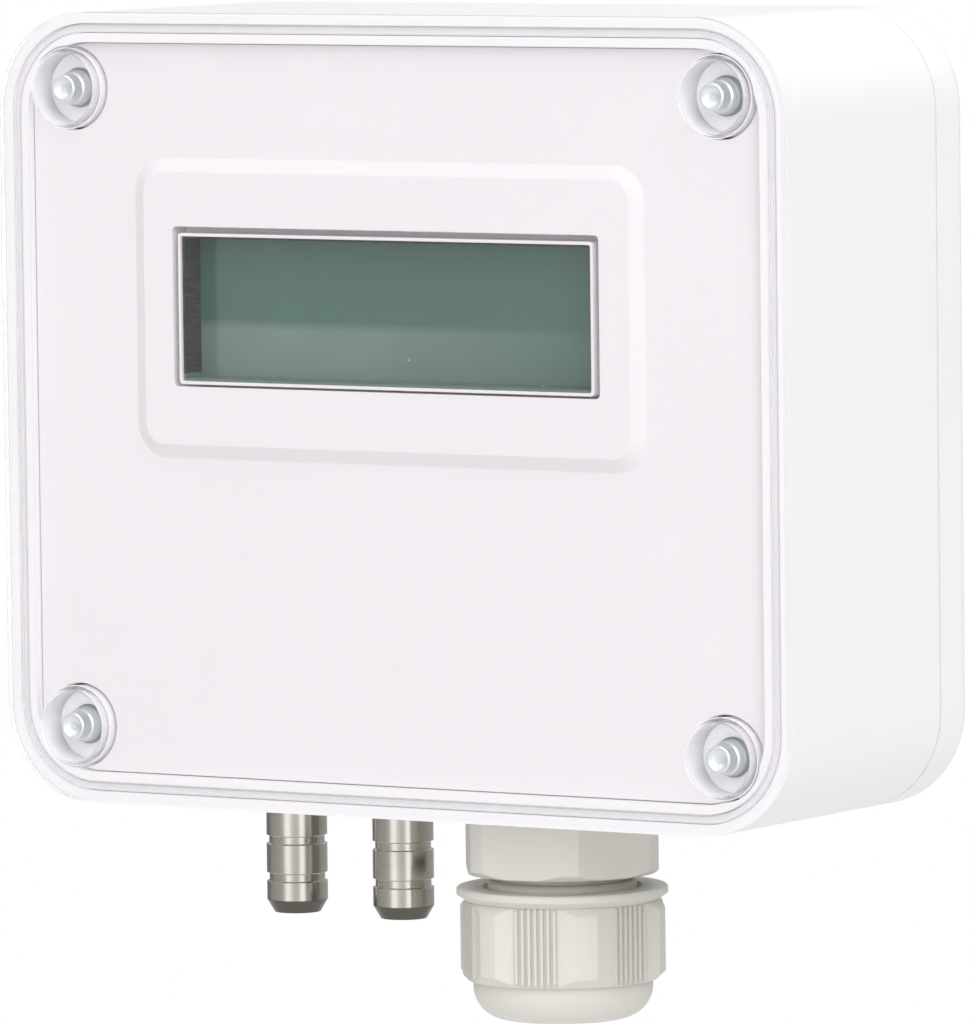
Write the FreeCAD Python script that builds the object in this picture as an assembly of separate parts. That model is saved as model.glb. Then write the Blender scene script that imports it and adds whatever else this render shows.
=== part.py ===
"""Wall-type differential pressure transmitter, millimetres.

X runs to the right, Z up, and the front faces -Y. The origin is the centre of the back face,
which lies on the wall plane y = 0. The hose ports and the cable gland point down.
"""
import FreeCAD, Part
import math
import os

# Case
CASE_WIDTH = 115.0
CASE_HEIGHT = 100.0
CASE_DEPTH = 45.0
CORNER_RADIUS = 12.5
BASE_DEPTH = 7.0
BASE_WALL = 2.6
BASE_FLOOR = 2.5
BASE_BACK_ROUND = 1.6
PARTING_GAP = 0.25
HOUSING_WALL = 3.0
HOUSING_FLOOR = 2.5
RIM_WALL = 3.8
RIM_DEPTH = 3.6

# Lid
LID_PLATE = 1.5
LID_EDGE_ROUND = 0.35
LID_SEAT_GAP = 0.1
TONGUE_OUTSET = 1.6
TONGUE_THICKNESS = 0.8
TONGUE_LENGTH = 0.8
GROOVE_SIDE_GAP = 0.2
GROOVE_DEPTH = 1.7
GASKET_SIDE_GAP = 0.05

# Lid screws and the wells they stand in
SCREW_X = 47.7
SCREW_Z = 40.4
WELL_DEPTH = 4.1
WELL_MOUTH_RADIUS = 4.5
WELL_BOTTOM_RADIUS = 4.4
WELL_ROUND = 0.2
CUP_RADIUS = 5.05
CUP_FLOOR = 1.5
SCREW_SHANK_RADIUS = 1.95
SCREW_HOLE_RADIUS = 2.15
SCREW_HEAD_RADIUS = 2.5
SCREW_HEAD_LENGTH = 3.9
SCREW_LENGTH = 11.3
SCREW_BOSS_RADIUS = 5.0
CORNER_WEB = 9.0
RETAINER_RADIUS = 2.9
RETAINER_THICKNESS = 0.8
RETAINER_SETBACK = 4.8
RETAINER_POCKET_RADIUS = 3.2
INSERT_RADIUS = 2.8
INSERT_BORE_RADIUS = 2.0
INSERT_LENGTH = 6.0
INSERT_SETBACK = 6.5

# Faceplate and display
FACEPLATE_MARGIN = 3.9
FACEPLATE_THICKNESS = 2.0
FACEPLATE_SETBACK = 1.1
FACEPLATE_CUTOUT_RADIUS = 5.35
PEG_X = 48.5
PEG_Z = 20.0
PEG_RADIUS = 1.5
PEG_LENGTH = 4.9
POST_RADIUS = 3.2
DISPLAY_X = -0.8
DISPLAY_Z = 12.9
BEZEL_WIDTH = 71.5
BEZEL_HEIGHT = 34.3
BEZEL_RADIUS = 2.6
BEZEL_RAISE = 0.9
BEZEL_FLARE = 1.75
BEZEL_ROUND = 0.4
WINDOW_WIDTH = 62.8
WINDOW_HEIGHT = 20.1
WINDOW_RADIUS = 0.6
WINDOW_LIFT = 0.25
FRAME_WIDTH = 61.2
FRAME_HEIGHT = 19.0
FRAME_RIM = 0.4
FRAME_DEPTH = 4.0
FRAME_FLANGE_WIDTH = 66.0
FRAME_FLANGE_HEIGHT = 24.0
FRAME_FLANGE = FRAME_DEPTH - BEZEL_RAISE - FACEPLATE_THICKNESS
LINER_THICKNESS = 0.3
LINER_SETBACK = 0.4
PANEL_WIDTH = 66.0
PANEL_HEIGHT = 26.0
PANEL_THICKNESS = 2.0
HOLDER_WIDTH = 69.0
HOLDER_HEIGHT = 29.0
HOLDER_FLOOR = 3.0
DISPLAY_BOARD_WIDTH = 82.0
DISPLAY_BOARD_HEIGHT = 38.0
BOARD_THICKNESS = 1.6
DISPLAY_POST_X = 38.2
DISPLAY_POST_Z = 16.2
DISPLAY_POST_RADIUS = 2.4
DISPLAY_SCREW_HOLE = 0.9
DISPLAY_SCREW_SHANK = 0.85
DISPLAY_SCREW_HEAD_RADIUS = 2.0
DISPLAY_SCREW_HEAD = 1.3
DISPLAY_SCREW_LENGTH = 5.0

# Main board and what stands on it
MAIN_BOARD_WIDTH = 84.0
MAIN_BOARD_HEIGHT = 64.0
MAIN_BOARD_Z = 4.0
STANDOFF_HEIGHT = 5.0
STANDOFF_RADIUS = 3.0
STANDOFF_INSET = 4.0
BOARD_SCREW_HOLE = 1.1
BOARD_SCREW_SHANK = 1.05
BOARD_SCREW_HEAD_RADIUS = 2.4
BOARD_SCREW_HEAD = 1.9
BOARD_SCREW_LENGTH = 5.6
HEADER_X = -10.0
HEADER_Z = 26.0
HEADER_PINS = 8
HEADER_PITCH = 2.54
PIN_SIDE = 0.64
SENSOR_TOP = -6.0
SENSOR_BOTTOM = -24.0
SENSOR_DEPTH = 10.8
NOZZLE_END = -31.0
BUTTON_X = 34.0
BUTTON_Z = 18.0
BUTTON_STEM_RADIUS = 1.75
BUTTON_CASE = 3.5

# Rear base, its screws and the wall holes
BASE_SCREW_X = 49.5
BASE_SCREW_Z = 30.0
BASE_SCREW_HOLE = 1.5
BASE_SCREW_SHANK = 1.45
BASE_SCREW_HEAD_RADIUS = 2.8
BASE_SCREW_HEAD = 2.1
BASE_SCREW_TIP = -2.7
BASE_BOSS_RADIUS = 4.0
BASE_RIB_X = 20.0
BASE_RIB_Z = 14.0
BASE_RIB_THICKNESS = 1.6
BASE_RIB_SETBACK = 2.0
WALL_HOLE_X = 38.0
WALL_HOLE_Z = 30.0
WALL_HOLE_RADIUS = 2.3
WALL_PAD_RADIUS = 5.5
WALL_PAD_HEIGHT = 4.0

# Underside: hose ports and cable gland
FITTING_Y = -23.0
PORT_X = {"high": -28.2, "low": -12.1}
PORT_RADIUS = 3.88
PORT_GROOVE_RADIUS = 3.55
PORT_COLLAR_FLATS = 11.0
PORT_COLLAR_HEIGHT = 2.0
PORT_THREAD_RADIUS = 3.0
PORT_SPIGOT_RADIUS = 2.0
PORT_BORE_RADIUS = 1.2
PORT_LENGTH = 15.2
PORT_GROOVES = ((5.3, 6.45), (10.1, 11.25))
PORT_TIP_CHAMFER = 1.6
PORT_TIP_RADIUS = 2.95
PORT_THREAD_TOP = 7.0
PORT_TOP = 14.0
PORT_SEAL_RADIUS = 4.65
PORT_SEAL_HEIGHT = 0.8
PORT_NUT_FLATS = 10.0
PORT_NUT_HEIGHT = 3.0
TUBE_RADIUS = 3.2
GLAND_X = 11.6
GLAND_FLATS = 23.6
GLAND_CORNER_RADIUS = 12.95
GLAND_HEX_TURN = 35.5
GLAND_HEX_BOTTOM = 8.1
GLAND_WASHER = 0.6
GLAND_THREAD_RADIUS = 9.9
GLAND_NECK_RADIUS = 9.4
GLAND_UNDERCUT_RADIUS = 8.5
GLAND_BORE_RADIUS = 7.0
GLAND_MOUTH_RADIUS = 8.0
GLAND_THREAD_TOP = 9.5
GLAND_NECK_END = 20.5
GLAND_SLIT = 0.7
LOCKNUT_FLATS = 24.0
LOCKNUT_HEIGHT = 4.5
NUT_TURN = 45.5
NUT_LIP_RADIUS = 13.3
NUT_LIP_TOP = 9.85
NUT_LIP_HEIGHT = 1.4
NUT_FLATS = 23.9
NUT_CORNER_RADIUS = 13.1
NUT_SKIRT_END = 21.55
NUT_DOME_RADIUS = 11.3
NUT_END = 26.5
NUT_BORE_RADIUS = 9.48
NUT_LEAD_IN = 0.55
NUT_MOUTH_RADIUS = 7.1
NUT_RIBS = 7
NUT_RIB_PITCH = 0.83
NUT_RIB_WIDTH = 0.42
NUT_RIB_STAND = 0.35
SEAL_BORE_RADIUS = 5.2
SEAL_TOP = 12.4
SEAL_SHOULDER = 22.2
SEAL_END_RADIUS = 8.9

# Terminal block
POLE_PITCH = 5.08
POLES = 4
POLE_FIRST_X = 9.0
BLOCK_DEPTH = 11.0
BLOCK_HEIGHT = 11.5
CAGE_HALF = 1.9

# Depths along Y that follow from the above, the front first
LID_FRONT = -CASE_DEPTH
LID_BACK = LID_FRONT + LID_PLATE
RIM_FRONT = LID_BACK + LID_SEAT_GAP
HOUSING_BACK = -BASE_DEPTH - PARTING_GAP
FLOOR_FRONT = HOUSING_BACK - HOUSING_FLOOR
WELL_BOTTOM = LID_FRONT + WELL_DEPTH
CUP_BACK = WELL_BOTTOM + CUP_FLOOR
BOSS_FRONT = CUP_BACK + LID_SEAT_GAP
FACE_FRONT = RIM_FRONT + FACEPLATE_SETBACK
FACE_BACK = FACE_FRONT + FACEPLATE_THICKNESS
BEZEL_FRONT = FACE_FRONT - BEZEL_RAISE
PANEL_FRONT = BEZEL_FRONT + FRAME_DEPTH
PANEL_BACK = PANEL_FRONT + PANEL_THICKNESS
HOLDER_BACK = PANEL_BACK + HOLDER_FLOOR
DISPLAY_BOARD_BACK = HOLDER_BACK + BOARD_THICKNESS
MAIN_BOARD_BACK = FLOOR_FRONT - STANDOFF_HEIGHT
MAIN_BOARD_FRONT = MAIN_BOARD_BACK - BOARD_THICKNESS
BLOCK_FRONT = MAIN_BOARD_FRONT - BLOCK_DEPTH
CAGE_FRONT = BLOCK_FRONT + 2.8
CAGE_BACK = CAGE_FRONT + 5.8
BAR_FRONT = CAGE_FRONT + 2.4

# Heights along Z
UNDERSIDE = -CASE_HEIGHT / 2
WALL_INSIDE = UNDERSIDE + HOUSING_WALL
BLOCK_BOTTOM = MAIN_BOARD_Z - MAIN_BOARD_HEIGHT / 2 - 0.5
BLOCK_TOP = BLOCK_BOTTOM + BLOCK_HEIGHT
CAGE_BOTTOM = BLOCK_BOTTOM + 0.9
CAGE_TOP = BLOCK_BOTTOM + 8.2
CAGE_MIDDLE = (CAGE_BOTTOM + CAGE_TOP) / 2

CORNERS = {"tl": (-1, 1), "tr": (1, 1), "bl": (-1, -1), "br": (1, -1)}


def vec(x, y, z):
    return FreeCAD.Vector(x, y, z)


def block(x0, x1, y0, y1, z0, z1):
    """Box between two corners."""
    return Part.makeBox(x1 - x0, y1 - y0, z1 - z0, vec(x0, y0, z0))


def outline(width, height, radius, y, x=0.0, z=0.0):
    """Closed wire of a rectangle with round corners, in the plane at depth y."""
    a = width / 2 - radius
    b = height / 2 - radius
    edges = []
    centres = [(a, b, 0), (-a, b, 90), (-a, -b, 180), (a, -b, 270)]
    points = []
    for cx, cz, start in centres:
        arc = []
        for turn in (start, start + 45, start + 90):
            t = math.radians(turn)
            arc.append(vec(x + cx + radius * math.cos(t), y, z + cz + radius * math.sin(t)))
        points.append(arc)
    for i, arc in enumerate(points):
        edges.append(Part.Arc(arc[0], arc[1], arc[2]).toShape())
        following = points[(i + 1) % 4][0]
        if arc[2].distanceToPoint(following) > 1e-6:
            edges.append(Part.LineSegment(arc[2], following).toShape())
    return Part.Wire(edges)


def slab(width, height, radius, y0, y1, x=0.0, z=0.0):
    """Rectangle with round corners, pushed out from depth y0 to depth y1."""
    face = Part.Face(outline(width, height, radius, y0, x, z))
    return face.extrude(vec(0, y1 - y0, 0))


def case_slab(margin, y0, y1):
    """Slab of the case outline, drawn in by a margin on every side."""
    return slab(CASE_WIDTH - 2 * margin, CASE_HEIGHT - 2 * margin, CORNER_RADIUS - margin, y0, y1)


def case_band(outer_margin, inner_margin, y0, y1):
    return case_slab(outer_margin, y0, y1).cut(case_slab(inner_margin, y0 - 1, y1 + 1))


def rod_y(x, z, radius, y0, y1):
    return Part.makeCylinder(radius, y1 - y0, vec(x, y0, z), vec(0, 1, 0))


def rod_z(x, y, radius, z0, z1):
    return Part.makeCylinder(radius, z1 - z0, vec(x, y, z0), vec(0, 0, 1))


def turned_z(profile, x, y):
    """Solid turned about a vertical axis from (radius, z) points."""
    points = [vec(x + r, y, z) for r, z in profile]
    wire = Part.makePolygon(points + [points[0]])
    return Part.Face(wire).revolve(vec(x, y, 0), vec(0, 0, 1), 360)


def turned_y(profile, x, z):
    """Solid turned about an axis along Y from (radius, y) points."""
    points = [vec(x + r, y, z) for r, y in profile]
    wire = Part.makePolygon(points + [points[0]])
    return Part.Face(wire).revolve(vec(x, 0, z), vec(0, 1, 0), 360)


def hexagon_z(x, y, flats, z0, z1, turn):
    """Upright hexagonal bar with one corner turned from the front (-Y) towards +X."""
    corner = flats / math.sqrt(3)
    points = []
    for i in range(7):
        t = math.radians(turn + 60 * i)
        points.append(vec(x + corner * math.sin(t), y - corner * math.cos(t), z0))
    return Part.Face(Part.makePolygon(points)).extrude(vec(0, 0, z1 - z0))


def edges_at_depth(shape, y):
    found = []
    for edge in shape.Edges:
        if all(abs(v.Y - y) < 1e-6 for v in edge.Vertexes):
            found.append(edge)
    return found


def joined(first, others):
    return first.fuse(others).removeSplitter() if others else first


def holed(first, others):
    return first.cut(others)


# Rear base: a shallow tray that is screwed to the wall
def rear_base():
    body = case_slab(0, -BASE_DEPTH, 0)
    body = body.makeFillet(BASE_BACK_ROUND, edges_at_depth(body, 0))
    body = body.cut(case_slab(BASE_WALL, -BASE_DEPTH - 1, -BASE_FLOOR))
    bosses = []
    pads = []
    holes = []
    for sx, sz in CORNERS.values():
        x = sx * BASE_SCREW_X
        z = sz * BASE_SCREW_Z
        bosses.append(rod_y(x, z, BASE_BOSS_RADIUS, HOUSING_BACK, -1.0))
        holes.append(rod_y(x, z, BASE_SCREW_HOLE, HOUSING_BACK - 1, -BASE_FLOOR))
        x = sx * WALL_HOLE_X
        z = sz * WALL_HOLE_Z
        pads.append(rod_y(x, z, WALL_PAD_RADIUS, -WALL_PAD_HEIGHT, -1.0))
        holes.append(rod_y(x, z, WALL_HOLE_RADIUS, -BASE_DEPTH, 1))
    ribs = []
    rib_top = -BASE_DEPTH + BASE_RIB_SETBACK
    half = BASE_RIB_THICKNESS / 2
    reach_x = CASE_WIDTH / 2 - 1
    reach_z = CASE_HEIGHT / 2 - 1
    for side in (-1, 1):
        x = side * BASE_RIB_X
        z = side * BASE_RIB_Z
        ribs.append(block(-reach_x, reach_x, rib_top, -1, z - half, z + half))
        ribs.append(block(x - half, x + half, rib_top, -1, -reach_z, reach_z))
    return holed(joined(body, bosses + pads + ribs), holes)


def base_screws():
    """Four pan-head screws that hold the housing on the rear base."""
    screws = []
    for sx, sz in CORNERS.values():
        x = sx * BASE_SCREW_X
        z = sz * BASE_SCREW_Z
        seat = FLOOR_FRONT
        top = seat - BASE_SCREW_HEAD
        profile = [(0, top), (BASE_SCREW_HEAD_RADIUS - 0.9, top), (BASE_SCREW_HEAD_RADIUS, top + 0.8),
                   (BASE_SCREW_HEAD_RADIUS, seat), (BASE_SCREW_SHANK, seat),
                   (BASE_SCREW_SHANK, BASE_SCREW_TIP - 0.9), (0.6, BASE_SCREW_TIP), (0, BASE_SCREW_TIP)]
        screws.append(holed(turned_y(profile, x, z), cross_recess(x, z, top, 1.5, 1.2)))
    return Part.makeCompound(screws)


def cross_recess(x, z, front, reach, depth):
    """Cutters for a cross drive in a screw head."""
    half = 0.28 * reach
    return [block(x - reach, x + reach, front - 1, front + depth, z - half, z + half),
            block(x - half, x + half, front - 1, front + depth, z - reach, z + reach)]


# Housing: the deep box that carries everything
def housing():
    body = case_slab(0, RIM_FRONT, HOUSING_BACK)
    rim_back = RIM_FRONT + RIM_DEPTH
    body = body.cut(case_slab(RIM_WALL, RIM_FRONT - 1, rim_back + 0.5))
    body = body.cut(case_slab(HOUSING_WALL, rim_back, FLOOR_FRONT))
    bosses = []
    holes = []
    pocket_back = BOSS_FRONT + INSERT_SETBACK
    for sx, sz in CORNERS.values():
        x = sx * SCREW_X
        z = sz * SCREW_Z
        boss = rod_y(x, z, SCREW_BOSS_RADIUS, BOSS_FRONT, FLOOR_FRONT + 1)
        far_x = x + sx * CORNER_WEB
        far_z = z + sz * CORNER_WEB
        web = block(min(x, far_x), max(x, far_x), BOSS_FRONT, FLOOR_FRONT + 1, min(z, far_z), max(z, far_z))
        inside = case_slab(HOUSING_WALL / 2, BOSS_FRONT, FLOOR_FRONT + 1)
        bosses.append(boss.fuse(web).common(inside))
        holes.append(rod_y(x, z, CUP_RADIUS + 0.3, RIM_FRONT - 1, BOSS_FRONT))
        holes.append(rod_y(x, z, RETAINER_POCKET_RADIUS, BOSS_FRONT - 1, pocket_back))
        holes.append(rod_y(x, z, INSERT_RADIUS, pocket_back - 1, pocket_back + INSERT_LENGTH))
        holes.append(rod_y(x, z, SCREW_HOLE_RADIUS, pocket_back, pocket_back + INSERT_LENGTH + 3))
        x = sx * BASE_SCREW_X
        z = sz * BASE_SCREW_Z
        holes.append(rod_y(x, z, BASE_SCREW_HOLE + 0.2, FLOOR_FRONT - 1, HOUSING_BACK + 1))
        x = sx * PEG_X
        z = sz * PEG_Z
        bosses.append(rod_y(x, z, POST_RADIUS, FACE_BACK, FLOOR_FRONT + 1))
        holes.append(rod_y(x, z, PEG_RADIUS, FACE_BACK - 1, FACE_BACK + PEG_LENGTH + 0.3))
    for x, z in board_screw_places():
        bosses.append(rod_y(x, z, STANDOFF_RADIUS, MAIN_BOARD_BACK, FLOOR_FRONT + 1))
        holes.append(rod_y(x, z, BOARD_SCREW_HOLE, MAIN_BOARD_BACK - 1, FLOOR_FRONT))
    groove_start = TONGUE_OUTSET - GROOVE_SIDE_GAP
    groove_end = TONGUE_OUTSET + TONGUE_THICKNESS + GROOVE_SIDE_GAP
    groove = case_band(groove_start, groove_end, RIM_FRONT - 1, RIM_FRONT + GROOVE_DEPTH)
    holes.append(groove)
    for x in PORT_X.values():
        holes.append(rod_z(x, FITTING_Y, PORT_THREAD_RADIUS + 0.05, UNDERSIDE - 1, WALL_INSIDE + 1))
    holes.append(rod_z(GLAND_X, FITTING_Y, GLAND_THREAD_RADIUS + 0.1, UNDERSIDE - 1, WALL_INSIDE + 1))
    return holed(joined(body, bosses), holes)


def screw_inserts():
    """Four threaded brass inserts, pressed into the corner bosses."""
    inserts = []
    front = BOSS_FRONT + INSERT_SETBACK
    for sx, sz in CORNERS.values():
        x = sx * SCREW_X
        z = sz * SCREW_Z
        tube = rod_y(x, z, INSERT_RADIUS, front, front + INSERT_LENGTH)
        bore = rod_y(x, z, INSERT_BORE_RADIUS, front - 1, front + INSERT_LENGTH + 1)
        inserts.append(tube.cut(bore))
    return Part.makeCompound(inserts)


# Lid: one clear moulding with a tongue round its edge and a cup for each screw
def lid():
    body = case_slab(0, LID_FRONT, LID_BACK)
    body = body.makeFillet(LID_EDGE_ROUND, edges_at_depth(body, LID_FRONT))
    tongue_end = LID_BACK + TONGUE_LENGTH
    tongue = case_band(TONGUE_OUTSET, TONGUE_OUTSET + TONGUE_THICKNESS, LID_BACK - 0.5, tongue_end)
    additions = [tongue]
    cuts = []
    for sx, sz in CORNERS.values():
        x = sx * SCREW_X
        z = sz * SCREW_Z
        additions.append(rod_y(x, z, CUP_RADIUS, LID_BACK - 0.5, CUP_BACK))
        rim = WELL_MOUTH_RADIUS + WELL_ROUND
        well = [(0, LID_FRONT - 1), (rim, LID_FRONT - 1), (rim, LID_FRONT),
                (WELL_MOUTH_RADIUS, LID_FRONT + WELL_ROUND), (WELL_BOTTOM_RADIUS, WELL_BOTTOM),
                (0, WELL_BOTTOM)]
        cuts.append(turned_y(well, x, z))
        cuts.append(rod_y(x, z, SCREW_HOLE_RADIUS, LID_FRONT, CUP_BACK + 1))
    return holed(joined(body, additions), cuts)


def lid_gasket():
    margin = TONGUE_OUTSET - GROOVE_SIDE_GAP + GASKET_SIDE_GAP
    width = TONGUE_THICKNESS + 2 * (GROOVE_SIDE_GAP - GASKET_SIDE_GAP)
    front = LID_BACK + TONGUE_LENGTH + GASKET_SIDE_GAP
    return case_band(margin, margin + width, front, RIM_FRONT + GROOVE_DEPTH)


def lid_screw(x, z):
    """Captive screw: a stepped round head with a dished end, a plain shank and a pointed end."""
    seat = WELL_BOTTOM
    end = seat - SCREW_HEAD_LENGTH
    tip = seat + SCREW_LENGTH
    profile = [(0, end), (1.55, end), (1.7, end + 0.15), (1.8, end + 1.7), (2.05, end + 1.9),
               (2.1, end + 2.7), (2.3, end + 2.9), (2.3, end + 3.4), (SCREW_HEAD_RADIUS, end + 3.6),
               (SCREW_HEAD_RADIUS, seat), (SCREW_SHANK_RADIUS, seat), (SCREW_SHANK_RADIUS, tip - 0.8),
               (1.2, tip), (0, tip)]
    screw = turned_y(profile, x, z)
    dish = [(0, end - 1), (1.35, end - 1), (1.35, end), (1.1, end + 0.3), (0.6, end + 0.5), (0, end + 0.55)]
    return screw.cut(turned_y(dish, x, z))


def screw_retainer(x, z):
    """Plastic washer snapped on the shank behind the lid, so the screw stays with it."""
    front = CUP_BACK + RETAINER_SETBACK
    ring = rod_y(x, z, RETAINER_RADIUS, front, front + RETAINER_THICKNESS)
    return ring.cut(rod_y(x, z, SCREW_SHANK_RADIUS + 0.05, front - 1, front + RETAINER_THICKNESS + 1))


# Faceplate: the white cover in front of the boards, with the raised display bezel
def faceplate():
    plate = case_slab(FACEPLATE_MARGIN, FACE_FRONT, FACE_BACK)
    foot_width = BEZEL_WIDTH + 2 * BEZEL_FLARE
    foot_height = BEZEL_HEIGHT + 2 * BEZEL_FLARE
    foot_radius = BEZEL_RADIUS + BEZEL_FLARE
    foot = outline(foot_width, foot_height, foot_radius, FACE_FRONT, DISPLAY_X, DISPLAY_Z)
    crest = outline(BEZEL_WIDTH, BEZEL_HEIGHT, BEZEL_RADIUS, BEZEL_FRONT, DISPLAY_X, DISPLAY_Z)
    bezel = Part.makeLoft([foot, crest], True)
    bezel = bezel.makeFillet(BEZEL_ROUND, edges_at_depth(bezel, BEZEL_FRONT))
    root = slab(foot_width, foot_height, foot_radius, FACE_FRONT, FACE_FRONT + 0.5, DISPLAY_X, DISPLAY_Z)
    bezel = bezel.fuse(root)
    additions = [bezel]
    cuts = [slab(WINDOW_WIDTH, WINDOW_HEIGHT, WINDOW_RADIUS, BEZEL_FRONT - 1, FACE_BACK + 1,
                 DISPLAY_X, DISPLAY_Z + WINDOW_LIFT)]
    for sx, sz in CORNERS.values():
        peg_end = FACE_BACK + PEG_LENGTH
        additions.append(rod_y(sx * PEG_X, sz * PEG_Z, PEG_RADIUS, FACE_BACK - 0.5, peg_end))
        cutout = rod_y(sx * SCREW_X, sz * SCREW_Z, FACEPLATE_CUTOUT_RADIUS, FACE_FRONT - 1, FACE_BACK + 1)
        cuts.append(cutout)
    for x, z in display_screw_places():
        additions.append(rod_y(x, z, DISPLAY_POST_RADIUS, FACE_BACK - 0.5, HOLDER_BACK))
        cuts.append(rod_y(x, z, DISPLAY_SCREW_HOLE, FACE_BACK, HOLDER_BACK + 1))
    return holed(joined(plate, additions), cuts)


def display_frame():
    """White window frame: a thin rim in the bezel opening, with a flange behind the faceplate."""
    rim = slab(FRAME_WIDTH, FRAME_HEIGHT, 0.5, BEZEL_FRONT, PANEL_FRONT, DISPLAY_X, DISPLAY_Z)
    flange = slab(FRAME_FLANGE_WIDTH, FRAME_FLANGE_HEIGHT, 1.0, PANEL_FRONT - FRAME_FLANGE, PANEL_FRONT,
                  DISPLAY_X, DISPLAY_Z)
    opening = slab(FRAME_WIDTH - 2 * FRAME_RIM, FRAME_HEIGHT - 2 * FRAME_RIM, 0.3, BEZEL_FRONT - 1,
                   PANEL_FRONT + 1, DISPLAY_X, DISPLAY_Z)
    return rim.fuse(flange).removeSplitter().cut(opening)


def display_liner():
    """Dark foam strip round the inside of the window frame."""
    width = FRAME_WIDTH - 2 * FRAME_RIM
    height = FRAME_HEIGHT - 2 * FRAME_RIM
    front = BEZEL_FRONT + LINER_SETBACK
    outer = slab(width, height, 0.3, front, PANEL_FRONT, DISPLAY_X, DISPLAY_Z)
    inner = block(DISPLAY_X - width / 2 + LINER_THICKNESS, DISPLAY_X + width / 2 - LINER_THICKNESS,
                  front - 1, PANEL_FRONT + 1,
                  DISPLAY_Z - height / 2 + LINER_THICKNESS, DISPLAY_Z + height / 2 - LINER_THICKNESS)
    return outer.cut(inner)


def lcd_panel():
    return slab(PANEL_WIDTH, PANEL_HEIGHT, 0.4, PANEL_FRONT, PANEL_BACK, DISPLAY_X, DISPLAY_Z)


def lcd_holder():
    """Tray behind the glass that spreads the backlight."""
    tray = slab(HOLDER_WIDTH, HOLDER_HEIGHT, 1.0, PANEL_FRONT, HOLDER_BACK, DISPLAY_X, DISPLAY_Z)
    pocket = slab(PANEL_WIDTH, PANEL_HEIGHT, 0.4, PANEL_FRONT - 1, PANEL_BACK, DISPLAY_X, DISPLAY_Z)
    return tray.cut(pocket)


def display_screw_places():
    places = []
    for sx, sz in CORNERS.values():
        places.append((DISPLAY_X + sx * DISPLAY_POST_X, DISPLAY_Z + sz * DISPLAY_POST_Z))
    return places


def display_board():
    board = slab(DISPLAY_BOARD_WIDTH, DISPLAY_BOARD_HEIGHT, 1.5, HOLDER_BACK, DISPLAY_BOARD_BACK,
                 DISPLAY_X, DISPLAY_Z)
    holes = []
    for x, z in display_screw_places():
        holes.append(rod_y(x, z, DISPLAY_SCREW_HOLE + 0.2, HOLDER_BACK - 1, DISPLAY_BOARD_BACK + 1))
    return holed(board, holes)


def display_screws():
    """Four small screws that hold the display board to the back of the faceplate."""
    screws = []
    back = DISPLAY_BOARD_BACK
    for x, z in display_screw_places():
        tip = back - DISPLAY_SCREW_LENGTH
        top = back + DISPLAY_SCREW_HEAD
        profile = [(0, tip), (DISPLAY_SCREW_SHANK, tip), (DISPLAY_SCREW_SHANK, back),
                   (DISPLAY_SCREW_HEAD_RADIUS, back), (DISPLAY_SCREW_HEAD_RADIUS, top - 0.6),
                   (DISPLAY_SCREW_HEAD_RADIUS - 0.8, top), (0, top)]
        screw = turned_y(profile, x, z)
        slot = block(x - 1.4, x + 1.4, top - 0.6, top + 1, z - 0.25, z + 0.25)
        screws.append(screw.cut(slot))
    return Part.makeCompound(screws)


def header_pin_places():
    first = HEADER_X - (HEADER_PINS - 1) / 2 * HEADER_PITCH
    return [first + i * HEADER_PITCH for i in range(HEADER_PINS)]


def board_header():
    """Pin strip on the back of the display board."""
    half = HEADER_PINS / 2 * HEADER_PITCH
    strip = block(HEADER_X - half, HEADER_X + half, DISPLAY_BOARD_BACK, DISPLAY_BOARD_BACK + 2.5,
                  HEADER_Z - 1.25, HEADER_Z + 1.25)
    pins = []
    for x in header_pin_places():
        pins.append(block(x - PIN_SIDE / 2, x + PIN_SIDE / 2, DISPLAY_BOARD_BACK, MAIN_BOARD_FRONT - 2.0,
                          HEADER_Z - PIN_SIDE / 2, HEADER_Z + PIN_SIDE / 2))
    return joined(strip, pins)


def board_socket():
    """Socket strip on the main board that takes the display board's pins."""
    half = HEADER_PINS / 2 * HEADER_PITCH + 0.2
    strip = block(HEADER_X - half, HEADER_X + half, MAIN_BOARD_FRONT - 8.5, MAIN_BOARD_FRONT,
                  HEADER_Z - 1.25, HEADER_Z + 1.25)
    slots = []
    for x in header_pin_places():
        side = PIN_SIDE / 2 + 0.03
        slots.append(block(x - side, x + side, MAIN_BOARD_FRONT - 9.5, MAIN_BOARD_FRONT - 1.0,
                           HEADER_Z - side, HEADER_Z + side))
    return holed(strip, slots)


# Main board and its parts
def board_screw_places():
    half_width = MAIN_BOARD_WIDTH / 2 - STANDOFF_INSET
    half_height = MAIN_BOARD_HEIGHT / 2 - STANDOFF_INSET
    return [(sx * half_width, MAIN_BOARD_Z + sz * half_height) for sx, sz in CORNERS.values()]


def main_board():
    board = slab(MAIN_BOARD_WIDTH, MAIN_BOARD_HEIGHT, 1.5, MAIN_BOARD_FRONT, MAIN_BOARD_BACK, 0, MAIN_BOARD_Z)
    holes = []
    for x, z in board_screw_places():
        holes.append(rod_y(x, z, BOARD_SCREW_HOLE + 0.5, MAIN_BOARD_FRONT - 1, MAIN_BOARD_BACK + 1))
    return holed(board, holes)


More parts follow.
